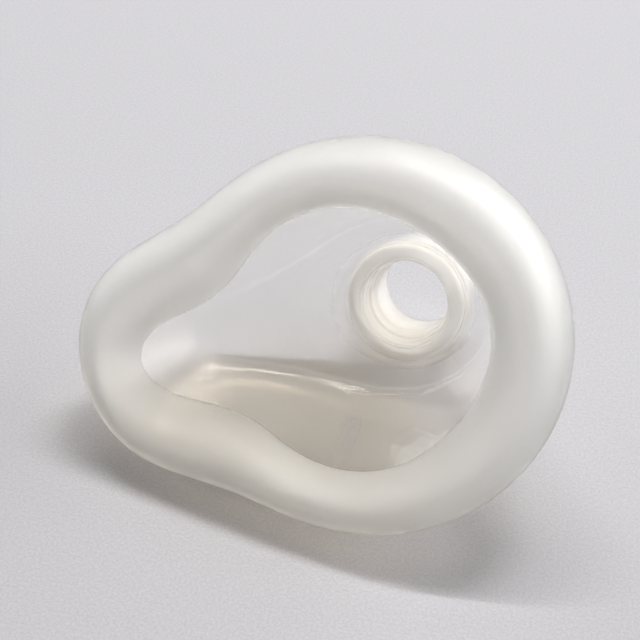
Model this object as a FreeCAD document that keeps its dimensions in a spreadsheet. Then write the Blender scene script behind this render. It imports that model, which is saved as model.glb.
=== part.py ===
import FreeCAD, Part
import math
import os
import Sketcher
from FreeCAD import Vector, Placement, Rotation

# One-piece silicone face mask.  Mask frame while it is built: x from the nose
# end to the chin end, y across the face, +z toward the face, z = 0 at the
# crest of the cushion.  The finished piece is then laid down as it rests.

doc = FreeCAD.newDocument("face_mask")
sheet = doc.addObject("Spreadsheet::Sheet", "Dims")

# half outline of the widest line of the cushion, chin to nose (mm)
RIM = [(64.18, 0.0), (61.99, 14.63), (55.58, 27.97), (45.5, 38.79),
       (32.65, 46.12), (18.22, 49.38), (3.44, 48.5), (-10.66, 43.95),
       (-23.89, 37.22), (-37.64, 31.64), (-51.02, 25.33), (-60.74, 14.3),
       (-64.18, 0.0)]
# half outline of the free inner lip, chin to nose (mm)
LIP = [(45.08, 0.0), (43.13, 9.91), (37.98, 18.62), (30.75, 25.72),
       (22.06, 30.92), (12.24, 33.3), (2.19, 32.22), (-6.97, 27.92),
       (-14.69, 21.34), (-22.89, 15.36), (-32.33, 11.76), (-41.73, 8.01),
       (-47.25, 0.0)]

NUMBERS = [
    # cushion
    ("side_depth", 11.5),      # crest to the widest line, along z
    ("crest_inset", 8.0),      # widest line to the crest, in plan
    ("lip_depth", 10.0),       # crest to the free lip, along z
    ("cheek_rise", 2.0),       # saddle of the rim: sides forward, ends back
    ("half_length", 64.18),
    ("bulge_radius", 10.5),    # rounding behind the widest line
    # dome
    ("wall_slope", 1.7),
    ("dome_depth", 55.0),      # crest to the outside of the dome at the port
    ("ridge_slope", 0.19),     # the dome falls away toward the nose
    ("dome_blend", 3.0),
    ("lip_thick", 1.3),
    ("side_thick", 2.0),
    ("dome_thick", 2.2),
    # connector port
    ("port_x", 14.6),
    ("face_depth", 49.5),      # crest to the collar face inside the mask
    ("port_length", 26.0),
    ("collar_radius", 16.4),
    ("collar_round", 1.2),
    ("collar_height", 4.0),
    ("tube_radius", 15.5),
    ("tube_round", 1.0),
    ("bore_radius", 11.0),
    ("bore_chamfer", 0.6),
    ("bore_start", 12.0),      # collar face to the stop ledge
    ("ledge_radius", 10.35),
    ("ledge_width", 1.0),
    ("ring_radius", 10.95),
    ("ring_depth", 6.0),
    ("throat_radius", 11.65),
    ("mouth_radius", 12.7),
    ("mouth_step", 0.9),
    ("root_rise", 1.6),        # fillet between the dome and the tube
    # how the mask lies: turned from the mask frame, then moved (deg, mm)
    ("rest_axis_x", 0.94485507),
    ("rest_axis_y", -0.28501586),
    ("rest_axis_z", 0.1612912),
    ("rest_angle", 61.8373594),
    ("rest_move_x", -2.60897),
    ("rest_move_y", -24.27164),
    ("rest_move_z", 45.01516),
]
for i, (px, py) in enumerate(RIM):
    NUMBERS += [("rim_x_%d" % i, px), ("rim_y_%d" % i, py)]
for i, (px, py) in enumerate(LIP):
    NUMBERS += [("lip_x_%d" % i, px), ("lip_y_%d" % i, py)]
for row, (name, value) in enumerate(NUMBERS, start=1):
    sheet.set("A%d" % row, name)
    sheet.set("B%d" % row, "%.9g" % value)
    sheet.setAlias("B%d" % row, name)
doc.recompute()


def dim(name):
    return float(getattr(sheet, name))


# ---------------------------------------------------------------- plan curves
def fourier(half):
    """Closed curve, mirrored about y = 0, through evenly spaced half points."""
    m = len(half) - 1
    n = 2 * m
    cos_x, sin_y = [], []
    for k in range(m + 1):
        w = 1.0 if k in (0, m) else 2.0
        sx = sum((1.0 if i in (0, m) else 2.0) * half[i][0]
                 * math.cos(2 * math.pi * k * i / n) for i in range(m + 1))
        sy = sum(2.0 * half[i][1] * math.sin(2 * math.pi * k * i / n)
                 for i in range(m + 1))
        cos_x.append(w * sx / n)
        sin_y.append(w * sy / n)
    return cos_x, sin_y


def plan(curve, f):
    """Point and outward normal of a closed plan curve at fraction f."""
    cos_x, sin_y = curve
    x = y = dx = dy = 0.0
    for k in range(len(cos_x)):
        a = 2 * math.pi * k * f
        x += cos_x[k] * math.cos(a)
        y += sin_y[k] * math.sin(a)
        dx -= cos_x[k] * k * math.sin(a)
        dy += sin_y[k] * k * math.cos(a)
    size = math.hypot(dx, dy)
    return (x, y), (dy / size, -dx / size)


count = len(RIM)
rim = fourier([(dim("rim_x_%d" % i), dim("rim_y_%d" % i)) for i in range(count)])
lip = fourier([(dim("lip_x_%d" % i), dim("lip_y_%d" % i)) for i in range(count)])
rim_line = [plan(rim, i / 720.0)[0] for i in range(720)]

zs = dim("side_depth")
big = dim("bulge_radius")
lean = math.atan(1.0 / dim("wall_slope"))      # where the rounding runs into the wall
flat = big * (1 - math.cos(lean))
half_length = dim("half_length")
port_x = dim("port_x")


def inset(x, y):
    """Distance from a plan point to the widest line."""
    best = 1e9
    for i in range(720):
        ax, ay = rim_line[i]
        bx, by = rim_line[(i + 1) % 720]
        ux, uy = bx - ax, by - ay
        w = ((x - ax) * ux + (y - ay) * uy) / (ux * ux + uy * uy)
        w = min(1.0, max(0.0, w))
        best = min(best, math.hypot(x - ax - w * ux, y - ay - w * uy))
    return best


def saddle(x):
    return dim("cheek_rise") * (1 - 2 * (x / half_length) ** 2)


def dome(x, y):
    """Height of the outside of the dome over a plan point."""
    u = inset(x, y)
    e = min(u, flat)
    wall = math.sqrt(max(big ** 2 - (big - e) ** 2, 0.0))
    wall += dim("wall_slope") * max(u - flat, 0.0)
    s = (port_x - 10 - x) / 8.0
    fall = 8.0 * (s + math.log1p(math.exp(-s)) if s > 0 else math.log1p(math.exp(s)))
    top = dim("dome_depth") - zs - dim("ridge_slope") * fall
    if u < flat * 0.6:
        deep = wall
    else:
        k = dim("dome_blend") * min(1.0, max(0.05, u / 12.0))
        low = min(wall, top)
        deep = low - k * math.log(math.exp(-(wall - low) / k) + math.exp(-(top - low) / k))
    return -zs - deep + saddle(x) * math.exp(-(u / 14.0) ** 2)


# ------------------------------------------------- section loops of the shell
POINTS = 40
loops = []          # outside, port hole to free lip
thick = []
hole = 13.5         # the shell ends inside the wall of the port
for step in range(10):
    w = step / 10.0
    w = w ** 1.15
    ring = []
    for i in range(POINTS):
        f = i / float(POINTS)
        (sx, sy), (nx, ny) = plan(rim, f)
        cx = port_x + hole * math.cos(2 * math.pi * f)
        cy = hole * math.sin(2 * math.pi * f)
        x = cx + (sx - nx * flat - cx) * w
        y = cy + (sy - ny * flat - cy) * w
        ring.append(Vector(x, y, dome(x, y)))
    loops.append(ring)
    thick.append(dim("dome_thick"))
for part in (1.0, 0.66, 0.33, 0.0):
    a = lean * part
    ring = []
    for i in range(POINTS):
        (sx, sy), (nx, ny) = plan(rim, i / float(POINTS))
        d = big * (1 - math.cos(a))
        x, y = sx - nx * d, sy - ny * d
        ring.append(Vector(x, y, -zs - big * math.sin(a) + saddle(x) * math.exp(-(d / 14.0) ** 2)))
    loops.append(ring)
    thick.append(dim("side_thick"))
for angle in (18, 36, 54, 72, 90):
    a = math.radians(angle)
    ring = []
    for i in range(POINTS):
        (sx, sy), (nx, ny) = plan(rim, i / float(POINTS))
        d = dim("crest_inset") * (1 - math.cos(a))
        x, y = sx - nx * d, sy - ny * d
        ring.append(Vector(x, y, -zs + zs * math.sin(a) + saddle(x)))
    loops.append(ring)
    thick.append(dim("side_thick") + (dim("lip_thick") - dim("side_thick")) * angle / 180.0)
for step in (0.2, 0.4, 0.6, 0.8, 1.0):
    ring = []
    for i in range(POINTS):
        f = i / float(POINTS)
        (sx, sy), (nx, ny) = plan(rim, f)
        (lx, ly), _ = plan(lip, f)
        kx, ky = sx - nx * dim("crest_inset"), sy - ny * dim("crest_inset")
        x, y = kx + (lx - kx) * step, ky + (ly - ky) * step
        ring.append(Vector(x, y, -dim("lip_depth") * (1 - math.cos(math.pi / 2 * step)) + saddle(x)))
    loops.append(ring)
    thick.append(dim("lip_thick") + (dim("side_thick") - dim("lip_thick")) * 0.5 * (1 - step))

# inner side: every point moved in along the normal of the outside
last = len(loops) - 1
inner = []
edge = []
for j in range(last + 1):
    ring = []
    side = []
    for i in range(POINTS):
        down = loops[min(j + 1, last)][i] - loops[max(j - 1, 0)][i]
        if j == last:
            down = loops[last][i] - loops[last - 1][i]
        along = loops[j][(i + 1) % POINTS] - loops[j][i - 1]
        n = down.cross(along)
        n.normalize()
        down.normalize()
        ring.append(loops[j][i] + n * thick[j])
        side.append((n, down))
    inner.append(ring)
    edge.append(side)

# which way is in: at the chin end of the widest line it is toward -x
wide = 13
if (inner[wide][0] - loops[wide][0]).x > 0:
    inner = [[loops[j][i] * 2 - inner[j][i] for i in range(POINTS)] for j in range(last + 1)]

# fillet on the outside where the dome meets the tube
for j in range(0, 3):
    for i in range(POINTS):
        p = loops[j][i]
        v = math.hypot(p.x - port_x, p.y) - dim("tube_radius")
        p.z -= dim("root_rise") * math.exp(-max(v, -2.0) / 1.6)

# rounded free edge of the lip
tip = []
for i in range(POINTS):
    a, b = loops[last][i], inner[last][i]
    out = edge[last][i][1]
    tip.append((a + b) * 0.5 + out * (thick[last] * 0.5))
quarter_a, quarter_b = [], []
for i in range(POINTS):
    a, b = loops[last][i], inner[last][i]
    mid = (a + b) * 0.5
    out = edge[last][i][1]
    quarter_a.append(mid + (a - mid) * 0.7071 + out * (thick[last] * 0.35355))
    quarter_b.append(mid + (b - mid) * 0.7071 + out * (thick[last] * 0.35355))


def net(sections):
    """Smooth face through closed sections, periodic around the mask."""
    around = len(sections[0])
    even = [i / float(around) for i in range(around + 1)]
    rows = []
    for points in sections:
        curve = Part.BSplineCurve()
        curve.interpolate(Points=points, PeriodicFlag=True, Parameters=even)
        rows.append(curve)
    first = rows[0]
    poles = [c.getPoles() for c in rows]
    # one spacing along the section for every column
    steps = [0.0]
    for j in range(1, len(sections)):
        far = sum(sections[j][i].distanceToPoint(sections[j - 1][i]) for i in range(around)) / around
        steps.append(steps[-1] + math.sqrt(far))
    steps = [v / steps[-1] for v in steps]
    columns = []
    for i in range(len(poles[0])):
        curve = Part.BSplineCurve()
        curve.interpolate(Points=[row[i] for row in poles], Parameters=steps)
        columns.append(curve)
    surface = Part.BSplineSurface()
    surface.buildFromPolesMultsKnots(
        [c.getPoles() for c in columns],
        first.getMultiplicities(), columns[0].getMultiplicities(),
        first.getKnots(), columns[0].getKnots(),
        True, False, first.Degree, columns[0].Degree)
    return surface


sections = loops + [quarter_a, tip, quarter_b] + inner[::-1]
surface = net(sections)
skin = surface.toShape()
low = surface.vIso(surface.bounds()[2]).toShape()
high = surface.vIso(surface.bounds()[3]).toShape()
closing = Part.makeRuledSurface(high, low)
joined = Part.Compound([skin, closing])
joined.sewShape()
solid = Part.Solid(joined.Shells[0])
if solid.Volume < 0:
    solid.reverse()

shell = doc.addObject("Part::Feature", "Shell")
shell.Label = "Shell"
shell.Shape = solid

# ------------------------------------------------------------ connector port
port = doc.addObject("PartDesign::Body", "Port")
port.Label = "Port"
sketch = port.newObject("Sketcher::SketchObject", "PortProfile")
plane = [o for o in port.Origin.OriginFeatures if o.Role == "XZ_Plane"][0]
sketch.AttachmentSupport = [(plane, "")]
sketch.MapMode = "FlatFace"

# profile in (radius, z): expressions in the sheet's names, from the collar
# face down the outside, across the outer end and back up the bore
D = "Dims."
face = "-" + D + "face_depth"
end = "(-" + D + "face_depth-" + D + "port_length)"
PROFILE = [
    (D + "mouth_radius", face),
    (D + "collar_radius-" + D + "collar_round", face),
    (D + "collar_radius", face + "-" + D + "collar_round"),
    (D + "collar_radius", face + "-" + D + "collar_height"),
    (D + "tube_radius", face + "-" + D + "collar_height-1.0"),
    (D + "tube_radius", end + "+" + D + "tube_round"),
    (D + "tube_radius-" + D + "tube_round", end),
    (D + "bore_radius+" + D + "bore_chamfer", end),
    (D + "bore_radius", end + "+" + D + "bore_chamfer"),
    (D + "bore_radius", face + "-" + D + "bore_start"),
    (D + "ledge_radius", face + "-" + D + "bore_start"),
    (D + "ledge_radius", face + "-" + D + "bore_start+" + D + "ledge_width"),
    (D + "ring_radius", face + "-" + D + "bore_start+" + D + "ledge_width*2.2"),
    (D + "ring_radius", face + "-" + D + "ring_depth-0.7"),
    (D + "throat_radius", face + "-" + D + "ring_depth"),
    (D + "throat_radius", face + "-" + D + "mouth_step-(" + D + "mouth_radius-" + D + "throat_radius)"),
    (D + "mouth_radius", face + "-" + D + "mouth_step"),
]
ARCS = {1: 1, 5: 1, 15: -1}     # segments that are quarter rounds


def number(text):
    """Value of a sum or product of the sheet's names and numbers."""
    names = {n: v for n, v in NUMBERS}
    text = text.replace(D, "").replace(" ", "")
    pos = 0

    def term():
        nonlocal pos
        result = factor()
        while pos < len(text) and text[pos] == "*":
            pos += 1
            result *= factor()
        return result

    def factor():
        nonlocal pos
        if text[pos] == "-":
            pos += 1
            return -factor()
        if text[pos] == "(":
            pos += 1
            result = total()
            pos += 1
            return result
        start = pos
        while pos < len(text) and (text[pos].isalnum() or text[pos] in "_."):
            pos += 1
        word = text[start:pos]
        return names[word] if word in names else float(word)

    def total():
        nonlocal pos
        result = term()
        while pos < len(text) and text[pos] in "+-":
            sign = 1 if text[pos] == "+" else -1
            pos += 1
            result += sign * term()
        return result

    return total()


corners = [(number(r), number(z)) for r, z in PROFILE]
size = len(corners)
ids = []
for i in range(size):
    a, b = corners[i], corners[(i + 1) % size]
    if i in ARCS:
        if i == 1:      # collar edge
            centre, start, stop = (a[0], b[1]), 0.0, math.pi / 2
        elif i == 5:    # outer end of the tube
            centre, start, stop = (b[0], a[1]), -math.pi / 2, 0.0
        else:           # rounded ring in the mouth of the bore
            centre, start, stop = (b[0], a[1]), math.pi / 2, math.pi
        radius = abs(a[0] - b[0])
        circle = Part.Circle(Vector(centre[0], centre[1], 0), Vector(0, 0, 1), radius)
        ids.append(sketch.addGeometry(Part.ArcOfCircle(circle, start, stop), False))
    else:
        ids.append(sketch.addGeometry(Part.LineSegment(Vector(a[0], a[1], 0), Vector(b[0], b[1], 0)), False))

# which end of each segment is the start of the run
def ends(i):
    if i in (1, 5):
        return 2, 1
    if i == 15:
        return 2, 1
    return 1, 2


for i in range(size):
    nxt = (i + 1) % size
    sketch.addConstraint(Sketcher.Constraint("Coincident", ids[i], ends(i)[1], ids[nxt], ends(nxt)[0]))
for i in range(size):
    at = ends(i)[0]
    c = sketch.addConstraint(Sketcher.Constraint("DistanceX", -1, 1, ids[i], at, corners[i][0]))
    sketch.setExpression("Constraints[%d]" % c, PROFILE[i][0])
    c = sketch.addConstraint(Sketcher.Constraint("DistanceY", ids[i], at, -1, 1, -corners[i][1]))
    sketch.setExpression("Constraints[%d]" % c, "-(" + PROFILE[i][1] + ")")
for i, radius in ((1, D + "collar_round"), (5, D + "tube_round"), (15, D + "mouth_radius-" + D + "throat_radius")):
    a, b = corners[i], corners[(i + 1) % size]
    c = sketch.addConstraint(Sketcher.Constraint("Radius", ids[i], abs(a[0] - b[0])))
    sketch.setExpression("Constraints[%d]" % c, radius)
doc.recompute()

turn = port.newObject("PartDesign::Revolution", "PortTurn")
turn.Profile = sketch
turn.ReferenceAxis = (sketch, ["V_Axis"])
turn.Angle = 360.0
port.Tip = turn
port.setExpression("Placement.Base.x", "Dims.port_x")
doc.recompute()

# ------------------------------------------------------------- one moulding
mask = doc.addObject("Part::MultiFuse", "Mask")
mask.Label = "mask"
mask.Shapes = [shell, port]
doc.recompute()
mask.Placement = Placement(
    Vector(dim("rest_move_x"), dim("rest_move_y"), dim("rest_move_z")),
    Rotation(Vector(dim("rest_axis_x"), dim("rest_axis_y"), dim("rest_axis_z")), dim("rest_angle")))
doc.recompute()

for obj in doc.Objects:
    if "Invalid" in obj.State or "Error" in obj.State:
        raise RuntimeError("%s did not build: %s" % (obj.Name, obj.State))
for obj in (shell, port, mask):
    if obj.Shape.isNull() or not obj.Shape.isValid():
        raise RuntimeError("%s has no valid shape" % obj.Name)
if len(mask.Shape.Solids) != 1:
    raise RuntimeError("the mask is %d solids" % len(mask.Shape.Solids))

os.makedirs("parts", exist_ok=True)
mask.Shape.exportStep("parts/mask.step")
box = mask.Shape.BoundBox
print("mask: volume %.0f mm3, faces %d, box %.2f %.2f %.2f to %.2f %.2f %.2f" % (
    mask.Shape.Volume, len(mask.Shape.Faces), box.XMin, box.YMin, box.ZMin, box.XMax, box.YMax, box.ZMax))
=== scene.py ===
import math

import bpy
import numpy as np
from mathutils import Matrix, Vector


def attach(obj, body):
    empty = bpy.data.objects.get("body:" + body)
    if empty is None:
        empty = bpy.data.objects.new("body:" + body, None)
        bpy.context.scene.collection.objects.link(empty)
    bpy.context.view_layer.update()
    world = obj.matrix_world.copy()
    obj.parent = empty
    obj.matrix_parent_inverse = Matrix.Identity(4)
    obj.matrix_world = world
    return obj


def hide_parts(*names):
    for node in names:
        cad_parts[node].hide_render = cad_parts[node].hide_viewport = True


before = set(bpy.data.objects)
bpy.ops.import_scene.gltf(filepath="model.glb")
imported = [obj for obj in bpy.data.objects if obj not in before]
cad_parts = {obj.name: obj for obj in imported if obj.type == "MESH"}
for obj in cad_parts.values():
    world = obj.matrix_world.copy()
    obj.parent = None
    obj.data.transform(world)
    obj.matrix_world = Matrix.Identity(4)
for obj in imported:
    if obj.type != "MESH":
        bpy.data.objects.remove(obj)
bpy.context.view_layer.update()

# ------------------------------------------------------------------ the mask
# Same lines and numbers as the solid, in millimetres in the mask's own frame:
# x from the nose end to the chin end, z toward the face.  They are turned and
# moved to how the mask lies at the end.
RIM = [(64.18, 0.0), (61.99, 14.63), (55.58, 27.97), (45.5, 38.79),
       (32.65, 46.12), (18.22, 49.38), (3.44, 48.5), (-10.66, 43.95),
       (-23.89, 37.22), (-37.64, 31.64), (-51.02, 25.33), (-60.74, 14.3),
       (-64.18, 0.0)]
LIP = [(45.08, 0.0), (43.13, 9.91), (37.98, 18.62), (30.75, 25.72),
       (22.06, 30.92), (12.24, 33.3), (2.19, 32.22), (-6.97, 27.92),
       (-14.69, 21.34), (-22.89, 15.36), (-32.33, 11.76), (-41.73, 8.01),
       (-47.25, 0.0)]
SIDE, CREST, LIP_DEEP, RISE, HALF, BIG = 11.5, 8.0, 10.0, 2.0, 64.18, 10.5
SLOPE, TOP, RIDGE, BLEND = 1.7, 55.0, 0.19, 3.0
T_LIP, T_SIDE, T_DOME = 1.3, 2.0, 2.2
PX, FACE, LONG, ROOT = 14.6, 49.5, 26.0, 1.6
TUBE, COLLAR = 15.5, 16.4
AXIS, TURN = (0.94485507, -0.28501586, 0.1612912), 61.8373594
MOVE = np.array([-2.60897, -24.27164, 45.01516])

AROUND = 320
F = np.arange(AROUND) / AROUND
LEAN = math.atan(1.0 / SLOPE)
FLAT = BIG * (1 - math.cos(LEAN))


def fourier(half):
    m = len(half) - 1
    n = 2 * m
    cx, sy = [], []
    for k in range(m + 1):
        w = 1.0 if k in (0, m) else 2.0
        cx.append(w / n * sum((1.0 if i in (0, m) else 2.0) * half[i][0]
                              * math.cos(2 * math.pi * k * i / n) for i in range(m + 1)))
        sy.append(w / n * sum(2.0 * half[i][1] * math.sin(2 * math.pi * k * i / n) for i in range(m + 1)))
    return cx, sy


def plan(curve, f):
    cx, sy = curve
    a = [2 * math.pi * k * f for k in range(len(cx))]
    x = sum(cx[k] * np.cos(a[k]) for k in range(len(cx)))
    y = sum(sy[k] * np.sin(a[k]) for k in range(len(cx)))
    dx = -sum(cx[k] * k * np.sin(a[k]) for k in range(len(cx)))
    dy = sum(sy[k] * k * np.cos(a[k]) for k in range(len(cx)))
    size = np.hypot(dx, dy)
    return np.stack([x, y], -1), np.stack([dy / size, -dx / size], -1)


rim, lip = fourier(RIM), fourier(LIP)
line = plan(rim, np.arange(960) / 960.0)[0]


def inset(p):
    """Distance of plan points from the widest line."""
    size = (line ** 2).sum(1)
    out = np.empty(len(p))
    for i in range(0, len(p), 4000):
        q = p[i:i + 4000]
        near = (size - 2 * q @ line.T).argmin(1)
        best = np.full(len(q), 1e9)
        for step in (-1, 0):
            a = line[(near + step) % len(line)]
            b = line[(near + step + 1) % len(line)]
            ab = b - a
            w = np.clip(((q - a) * ab).sum(1) / (ab ** 2).sum(1), 0, 1)
            best = np.minimum(best, np.linalg.norm(q - a - w[:, None] * ab, axis=1))
        out[i:i + 4000] = best
    return out


def saddle(x):
    return RISE * (1 - 2 * (x / HALF) ** 2)


def dome(p):
    """Height of the outside of the dome."""
    u = inset(p)
    e = np.minimum(u, FLAT)
    wall = np.sqrt(np.maximum(BIG ** 2 - (BIG - e) ** 2, 0)) + SLOPE * np.maximum(u - FLAT, 0)
    fall = 8.0 * np.logaddexp(0, (PX - 10 - p[:, 0]) / 8.0)
    top = TOP - SIDE - RIDGE * fall
    k = BLEND * np.clip(u / 12.0, 0.05, 1)
    both = -k * np.logaddexp(-wall / k, -top / k)
    deep = np.where(u < FLAT * 0.6, wall, both)
    return -SIDE - deep + saddle(p[:, 0]) * np.exp(-(u / 14.0) ** 2)


def ripple(p):
    """Faint waves that the moulding left on the polished inside of the dome."""
    x, y = p[:, 0], p[:, 1]
    far = np.hypot(x - PX, y) - COLLAR
    fade = np.clip(far / 6.0, 0, 1) * np.clip((inset(p) - 6.0) / 4.0, 0, 1)
    return fade * (0.09 * np.sin(x * 0.95 + 0.35 * y) * np.sin(y * 0.55 - 0.2 * x + 1.0)
                   + 0.015 * np.sin(x * 1.9 - 0.5 * y + 2.0 * np.sin(0.21 * x)))


def dome_in(p, t=T_DOME):
    """Height of the inside of the dome: the outside moved in by its thickness."""
    e = 0.2
    gx = (dome(p + [e, 0]) - dome(p - [e, 0])) / (2 * e)
    gy = (dome(p + [0, e]) - dome(p - [0, e])) / (2 * e)
    return dome(p) + t * np.sqrt(1 + gx ** 2 + gy ** 2) + ripple(p)


def circle(r):
    return np.stack([PX + r * np.cos(2 * np.pi * F), r * np.sin(2 * np.pi * F)], -1)


def flat_loop(r, z):
    c = circle(r)
    return np.c_[c, np.full(AROUND, z)]


S, N = plan(rim, F)
L, _ = plan(lip, F)
K = S - N * CREST
EDGE = S - N * FLAT

outer, thick = [], []                # lip to dome
for q in np.linspace(1, 0, 26)[:-1]:
    p = K + (L - K) * q
    outer.append(np.c_[p, -LIP_DEEP * (1 - math.cos(math.pi / 2 * q)) + saddle(p[:, 0])])
    thick.append(T_LIP + (T_SIDE - T_LIP) * 0.5 * (1 - q))
for a in np.radians(np.linspace(90, 0, 22)[:-1]):
    p = S - N * CREST * (1 - math.cos(a))
    outer.append(np.c_[p, -SIDE + SIDE * math.sin(a) + saddle(p[:, 0])])
    thick.append(T_SIDE + (T_LIP - T_SIDE) * a / math.pi)
for a in np.linspace(0, LEAN, 9):
    d = BIG * (1 - math.cos(a))
    p = S - N * d
    outer.append(np.c_[p, -SIDE - BIG * math.sin(a) + saddle(p[:, 0]) * math.exp(-(d / 14.0) ** 2)])
    thick.append(T_SIDE)
cushion_rows = len(outer)
near = circle(TUBE + ROOT)
steps = np.linspace(1, 0, 40)[1:]
for w in steps:
    p = near + (EDGE - near) * w ** 1.1
    outer.append(np.c_[p, dome(p)])
    thick.append(T_DOME)
dome_rows = len(outer)
outer = np.array(outer)

rows = [row for row in outer]
zone = ["front"] * cushion_rows + ["dome"] * (dome_rows - cushion_rows)

# fillet from the dome onto the tube
for a in np.radians(np.linspace(0, 90, 9)[1:]):
    r = TUBE + ROOT * (1 - math.sin(a))
    p = circle(r)
    rows.append(np.c_[p, dome(p) - ROOT * (1 - math.cos(a))])
    zone.append("root")
start = rows[-1][:, 2]
for w in np.linspace(0, 1, 14)[1:]:
    z = start * (1 - w) + (-FACE - LONG + 1.0) * w
    rows.append(np.c_[circle(TUBE), z])
    zone.append("tube")


def rounded(points, radii, step=0.16):
    """Polyline in (radius, z) with its corners rounded, closely divided."""
    out = []
    n = len(points)
    for i, p in enumerate(points):
        p = np.array(p, float)
        r = radii[i]
        if i in (0, n - 1) or r == 0:
            out.append(p)
            continue
        a, b = np.array(points[i - 1], float) - p, np.array(points[i + 1], float) - p
        la, lb = np.linalg.norm(a), np.linalg.norm(b)
        a, b = a / la, b / lb
        half = math.acos(max(-1, min(1, float(a @ b)))) / 2
        cut = min(r / math.tan(half), la * (0.95 if i == 1 else 0.48), lb * (0.95 if i == n - 2 else 0.48))
        r = cut * math.tan(half)
        middle = p + (a + b) / np.linalg.norm(a + b) * (r / math.sin(half))
        p0, p1 = p + a * cut, p + b * cut
        v0, v1 = p0 - middle, p1 - middle
        turn = math.atan2(v0[0] * v1[1] - v0[1] * v1[0], float(v0 @ v1))
        count = max(3, int(abs(turn) / math.radians(15)))
        for s in range(count + 1):
            c, d = math.cos(turn * s / count), math.sin(turn * s / count)
            out.append(middle + np.array([c * v0[0] - d * v0[1], d * v0[0] + c * v0[1]]))
    full = [out[0]]
    for p in out[1:]:
        gap = np.linalg.norm(p - full[-1])
        if gap < 1e-6:
            continue
        parts = max(1, int(gap / 1.6))
        q = full[-1]
        for s in range(1, parts + 1):
            full.append(q + (p - q) * s / parts)
    return full


END = -FACE - LONG
PORT = [(TUBE, END + 1.0), (TUBE, END), (11.6, END), (11.0, END + 0.6),
        (11.0, -FACE - 12.0), (10.35, -FACE - 12.0), (10.35, -FACE - 11.0),
        (10.95, -FACE - 9.8), (10.95, -FACE - 6.7), (11.65, -FACE - 6.0),
        (11.65, -FACE - 0.9), (12.7, -FACE - 0.9), (12.7, -FACE), (COLLAR, -FACE)]
ROUND = [0, 1.0, 0.3, 0.3, 0.15, 0.2, 0.4, 0.6, 0.5, 0.25, 1.05, 0.12, 0.25, 1.2]
PORT.append((COLLAR, -FACE - 1.4))
ROUND.append(0)
bore_from = len(rows)
for r, z in rounded(PORT, ROUND)[1:]:
    rows.append(flat_loop(r, z))
    zone.append("port")

# collar wall down to the inside of the dome, with a small fillet
FIL = 0.8
foot = dome_in(circle(COLLAR + FIL))
wall = rows[-1][:, 2]
for a in np.radians(np.linspace(0, 90, 7)):
    r = COLLAR + FIL * (1 - math.cos(a))
    p = circle(r)
    z = dome_in(p) + FIL * (1 - math.sin(a))
    z = np.minimum(z, wall - 0.02 * (1 + 6 * a))
    rows.append(np.c_[p, z])
    zone.append("foot")
ring = circle(COLLAR + FIL)
inner_steps = np.linspace(0, 0.80, 34)[1:]
for w in inner_steps:
    p = ring + (EDGE - ring) * w
    z = dome_in(p)
    rows.append(np.c_[p, z])
    zone.append("dome_in")

# the rest of the inside: the outside moved in along its normal
down = np.gradient(outer, axis=0)
along = np.roll(outer, -1, 1) - np.roll(outer, 1, 1)
normal = np.cross(down, along)
normal /= np.linalg.norm(normal, axis=2)[..., None]
if normal[cushion_rows - 9, 0, 0] > 0:
    normal = -normal
inside = outer + normal * np.array(thick)[:, None, None]
keep = [j for j, w in enumerate(steps) if w ** 1.1 > 0.86]
last = cushion_rows + (keep[-1] if keep else 0)
for j in range(last, -1, -1):
    rows.append(inside[j])
    zone.append("back" if j < cushion_rows else "dome_in")

# rounded free edge of the lip
a, b = outer[0], inside[0]
out = outer[0] - outer[1]
out /= np.linalg.norm(out, axis=1)[:, None]
mid, half = (a + b) / 2, np.linalg.norm(a - b, axis=1)[:, None] / 2
for ang in np.radians([-60, -30, 0, 30, 60]):
    rows.append(mid + (a - b) / 2 * math.sin(ang) + out * half * math.cos(ang))
    zone.append("front")

grid = np.array(rows)
count = len(grid)

# lay it down as it rests
ax = Vector(AXIS).normalized()
turn = np.array(Matrix.Rotation(math.radians(TURN), 3, ax))
world = (grid.reshape(-1, 3) @ turn.T + MOVE) / 1000.0

faces = []
for j in range(count):
    k = (j + 1) % count
    for i in range(AROUND):
        n = (i + 1) % AROUND
        faces.append((j * AROUND + i, j * AROUND + n, k * AROUND + n, k * AROUND + i))
mesh = bpy.data.meshes.new("mask_silicone")
mesh.from_pydata(world.tolist(), [], faces)
mesh.update()

# zones of finish, blended over a few millimetres: 1 frosted, 0 polished
frost = np.zeros(count)
milk = np.zeros(count)
for j, z in enumerate(zone):
    frost[j] = {"front": 1.0, "back": 1.0}.get(z, 0.0)
    milk[j] = {"root": 0.5, "tube": 1.0, "port": 1.0, "foot": 0.9}.get(z, 0.0)
for _ in range(6):
    milk = (np.roll(milk, 1) + 2 * milk + np.roll(milk, -1)) / 4
for _ in range(10):
    frost = (np.roll(frost, 1) + 2 * frost + np.roll(frost, -1)) / 4
# the moulding is duller at the nose end, where the dome is narrow
nose = np.clip((-12.0 - grid.reshape(-1, 3)[:, 0]) / 38.0, 0, 1)
for name, data in (("frost", np.maximum(np.repeat(frost, AROUND), 0.36 * nose)), ("milk", np.repeat(milk, AROUND))):
    layer = mesh.attributes.new(name, "FLOAT", "POINT")
    layer.data.foreach_set("value", data.astype(np.float32))

mask = bpy.data.objects.new("mask_silicone", mesh)
bpy.context.scene.collection.objects.link(mask)
for p in mesh.polygons:
    p.use_smooth = True
import bmesh
bm = bmesh.new()
bm.from_mesh(mesh)
bmesh.ops.recalc_face_normals(bm, faces=bm.faces)
if bm.calc_volume(signed=True) < 0:
    bmesh.ops.reverse_faces(bm, faces=bm.faces)
bm.to_mesh(mesh)
bm.free()

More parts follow.
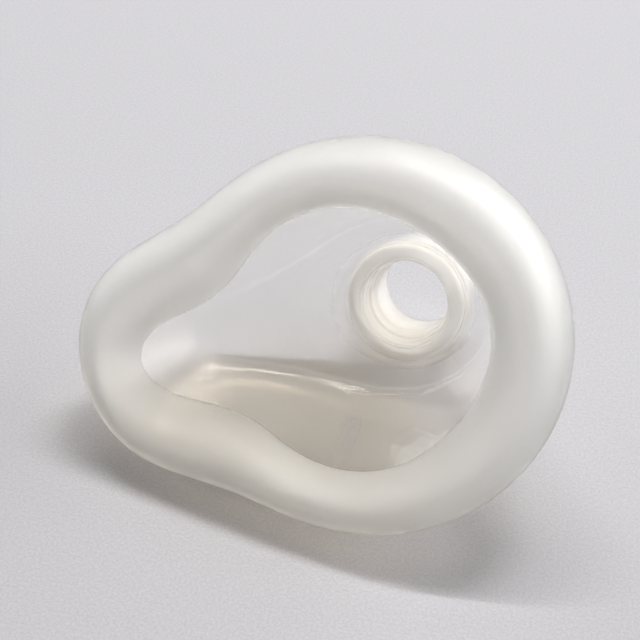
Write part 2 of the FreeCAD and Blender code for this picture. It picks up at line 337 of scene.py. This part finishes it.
# ------------------------------------------------------------------ silicone
CLEAR_DOME, CLEAR_CUSHION, CLEAR_PORT = 0.925, 0.89, 0.60
PASS_DOME, PASS_CUSHION, PASS_PORT = 0.58, 0.48, 0.60
LIGHT_TINT = (0.975, 0.935, 0.865, 1)
TINT_SKIN = (1.0, 0.996, 0.984, 1)
TINT_PORT = (0.998, 0.99, 0.965, 1)


def node(tree, kind, x=0, y=0, **inputs):
    n = tree.nodes.new(kind)
    n.location = (x, y)
    for key, value in inputs.items():
        n.inputs[key].default_value = value
    return n


mat = bpy.data.materials.new("silicone")
mat.use_nodes = True
t = mat.node_tree
t.nodes.clear()
bsdf = node(t, "ShaderNodeBsdfPrincipled", 600, 0)
outp = node(t, "ShaderNodeOutputMaterial", 900, 0)
t.links.new(bsdf.outputs[0], outp.inputs["Surface"])
bsdf.inputs["IOR"].default_value = 1.41
bsdf.inputs["Specular IOR Level"].default_value = 0.38
bsdf.inputs["Subsurface Weight"].default_value = 1.0
bsdf.inputs["Subsurface Radius"].default_value = (1.0, 1.0, 1.0)
bsdf.inputs["Subsurface Scale"].default_value = 0.005

fa = node(t, "ShaderNodeAttribute", -600, 100)
fa.attribute_name = "frost"
ma = node(t, "ShaderNodeAttribute", -600, -100)
ma.attribute_name = "milk"


def span(source, x, y, low, high, from_low=0.0, from_high=1.0):
    m = node(t, "ShaderNodeMapRange", x, y)
    m.inputs["From Min"].default_value = from_low
    m.inputs["From Max"].default_value = from_high
    m.inputs["To Min"].default_value = low
    m.inputs["To Max"].default_value = high
    t.links.new(source, m.inputs["Value"])
    return m.outputs[0]


def math2(op, a, b, x, y):
    m = node(t, "ShaderNodeMath", x, y)
    m.operation = op
    for i, v in enumerate((a, b)):
        if hasattr(v, "links"):
            t.links.new(v, m.inputs[i])
        else:
            m.inputs[i].default_value = v
    return m.outputs[0]


coord = node(t, "ShaderNodeTexCoord", -1000, -300)
fine = node(t, "ShaderNodeTexNoise", -800, -300, Scale=1400.0, Detail=2.0, Roughness=0.6)
t.links.new(coord.outputs["Object"], fine.inputs["Vector"])
cloud = node(t, "ShaderNodeTexNoise", -800, -500, Scale=38.0, Detail=3.0, Roughness=0.5)
t.links.new(coord.outputs["Object"], cloud.inputs["Vector"])

# how clear: polished dome, frosted cushion, milky port
clear = math2("SUBTRACT", span(fa.outputs["Fac"], -300, 200, CLEAR_DOME, CLEAR_CUSHION),
              span(ma.outputs["Fac"], -300, 0, 0.0, CLEAR_DOME - CLEAR_PORT), 0, 100)
clear = math2("ADD", clear, span(cloud.outputs["Fac"], -300, -500, -0.03, 0.03), 150, 100)
t.links.new(clear, bsdf.inputs["Transmission Weight"])
rough = math2("ADD", span(fa.outputs["Fac"], -300, -200, 0.03, 0.58),
              span(fine.outputs["Fac"], -300, -350, -0.01, 0.02), 150, -100)
rough = math2("ADD", rough, span(ma.outputs["Fac"], -300, -420, 0.0, 0.05), 300, -100)
t.links.new(rough, bsdf.inputs["Roughness"])
tone = node(t, "ShaderNodeMix", 300, 300)
tone.data_type = "RGBA"
tone.inputs["A"].default_value = TINT_SKIN
tone.inputs["B"].default_value = TINT_PORT
t.links.new(ma.outputs["Fac"], tone.inputs["Factor"])
t.links.new(tone.outputs["Result"], bsdf.inputs["Base Color"])
bump = node(t, "ShaderNodeBump", 300, -350, Strength=0.1, Distance=0.00005)
t.links.new(fine.outputs["Fac"], bump.inputs["Height"])
t.links.new(span(fa.outputs["Fac"], 100, -350, 0.03, 0.3), bump.inputs["Strength"])
t.links.new(bump.outputs[0], bsdf.inputs["Normal"])

# light that falls on the skin goes on through it, warmer for the silicone
ray = node(t, "ShaderNodeLightPath", 300, 600)
through = node(t, "ShaderNodeBsdfTransparent", 600, 300)
through.inputs["Color"].default_value = LIGHT_TINT
passing = math2("MAXIMUM", ray.outputs["Is Shadow Ray"], ray.outputs["Is Diffuse Ray"], 450, 600)
lets = math2("SUBTRACT", span(fa.outputs["Fac"], 100, 800, PASS_DOME, PASS_CUSHION),
             span(ma.outputs["Fac"], 100, 950, 0.0, PASS_DOME - PASS_PORT), 300, 850)
passing = math2("MULTIPLY", passing, lets, 600, 600)
both = node(t, "ShaderNodeMixShader", 800, 200)
t.links.new(passing, both.inputs[0])
t.links.new(bsdf.outputs[0], both.inputs[1])
t.links.new(through.outputs[0], both.inputs[2])
t.links.new(both.outputs[0], outp.inputs["Surface"])
mesh.materials.append(mat)

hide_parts("mask")
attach(mask, "root")

# --------------------------------------------------------------------- floor
bm = bmesh.new()
bmesh.ops.create_grid(bm, x_segments=1, y_segments=1, size=3.0)
fm = bpy.data.meshes.new("floor")
bm.to_mesh(fm)
bm.free()
floor = bpy.data.objects.new("floor", fm)
bpy.context.scene.collection.objects.link(floor)
pale = bpy.data.materials.new("pale_table")
pale.use_nodes = True
ft = pale.node_tree
fb = ft.nodes["Principled BSDF"]
fb.inputs["Roughness"].default_value = 0.75
fc = ft.nodes.new("ShaderNodeTexCoord")
fn = ft.nodes.new("ShaderNodeTexNoise")
fn.inputs["Scale"].default_value = 1500.0
fn.inputs["Detail"].default_value = 2.0
fr = ft.nodes.new("ShaderNodeValToRGB")
fr.color_ramp.elements[0].position = 0.3
fr.color_ramp.elements[1].position = 0.7
fr.color_ramp.elements[0].color = (0.322, 0.316, 0.333, 1)
fr.color_ramp.elements[1].color = (0.378, 0.371, 0.391, 1)
ft.links.new(fc.outputs["Object"], fn.inputs["Vector"])
ft.links.new(fn.outputs["Fac"], fr.inputs["Fac"])
ft.links.new(fr.outputs["Color"], fb.inputs["Base Color"])
fm.materials.append(pale)

# --------------------------------------------------------------------- light
world_data = bpy.data.worlds.new("studio")
bpy.context.scene.world = world_data
world_data.use_nodes = True
bg = world_data.node_tree.nodes["Background"]
bg.inputs["Color"].default_value = (0.94, 0.96, 1.0, 1)
wt = world_data.node_tree
wc = wt.nodes.new("ShaderNodeTexCoord")
ws = wt.nodes.new("ShaderNodeSeparateXYZ")
wm = wt.nodes.new("ShaderNodeMapRange")
wm.interpolation_type = "SMOOTHSTEP"
wm.inputs["From Min"].default_value = 0.16
wm.inputs["From Max"].default_value = 0.44
wm.inputs["To Min"].default_value = 0.98
wm.inputs["To Max"].default_value = 0.07
wt.links.new(wc.outputs["Generated"], ws.inputs[0])
wt.links.new(ws.outputs["Z"], wm.inputs["Value"])
# the band is strong behind the mask and weak in front of it
wy = wt.nodes.new("ShaderNodeMapRange")
wy.interpolation_type = "SMOOTHSTEP"
wy.inputs["From Min"].default_value = -0.5
wy.inputs["From Max"].default_value = 0.5
wy.inputs["To Min"].default_value = 0.20
wy.inputs["To Max"].default_value = 1.10
wt.links.new(ws.outputs["Y"], wy.inputs["Value"])
wp = wt.nodes.new("ShaderNodeMath")
wp.operation = "MULTIPLY"
wt.links.new(wm.outputs[0], wp.inputs[0])
wt.links.new(wy.outputs[0], wp.inputs[1])
wt.links.new(wp.outputs[0], bg.inputs["Strength"])


def lamp(name, where, at, size, power, color, size_y=None):
    data = bpy.data.lights.new(name, "AREA")
    data.shape = "RECTANGLE"
    data.size = size
    data.size_y = size_y or size
    data.energy = power
    data.color = color
    obj = bpy.data.objects.new(name, data)
    obj.location = where
    obj.rotation_euler = (Vector(at) - Vector(where)).to_track_quat("-Z", "Y").to_euler()
    bpy.context.scene.collection.objects.link(obj)
    return obj


KEY = Vector((0.14, 0.30, 0.94)).normalized()
lamp("key", tuple(KEY * 1.6), (0, 0, 0.03), 0.38, 8.5, (1.0, 0.985, 0.97))
# long thin tube behind: its mirror image runs along the crease of the dome
TUBE_AT = Vector((-0.02, 0.37, 0.93)).normalized()
lamp("tube", tuple(TUBE_AT * 1.6), (0, 0, 0.03), 1.25, 25.0, (1.0, 0.98, 0.95), 0.03)
SIDE_AT = Vector((2.3, 0.70, 1.25)).normalized()
lamp("side", tuple(SIDE_AT * 2.8), (0, 0, 0.03), 3.4, 90.0, (0.94, 0.975, 1.0), 2.0)
LEFT_AT = Vector((-1.9, 1.3, 1.2)).normalized()
lamp("left", tuple(LEFT_AT * 2.4), (0, 0, 0.03), 1.8, 18.0, (0.91, 0.96, 1.0))

# -------------------------------------------------------------------- camera
cam_data = bpy.data.cameras.new("camera")
cam = bpy.data.objects.new("camera", cam_data)
bpy.context.scene.collection.objects.link(cam)
cam_data.sensor_width = 36.0
cam_data.lens = 73.125
cam.matrix_world = Matrix(((0.986145, -0.140674, 0.087910, 0.028707),
                           (0.161715, 0.697204, -0.698394, -0.236235),
                           (0.036955, 0.702935, 0.710294, 0.273568),
                           (0.0, 0.0, 0.0, 1.0)))
bpy.context.scene.camera = cam
scene = bpy.context.scene
scene.view_settings.view_transform = "Standard"
scene.cycles.max_bounces = 9
scene.cycles.diffuse_bounces = 3
scene.cycles.glossy_bounces = 4
scene.cycles.transmission_bounces = 9
scene.cycles.transparent_max_bounces = 12
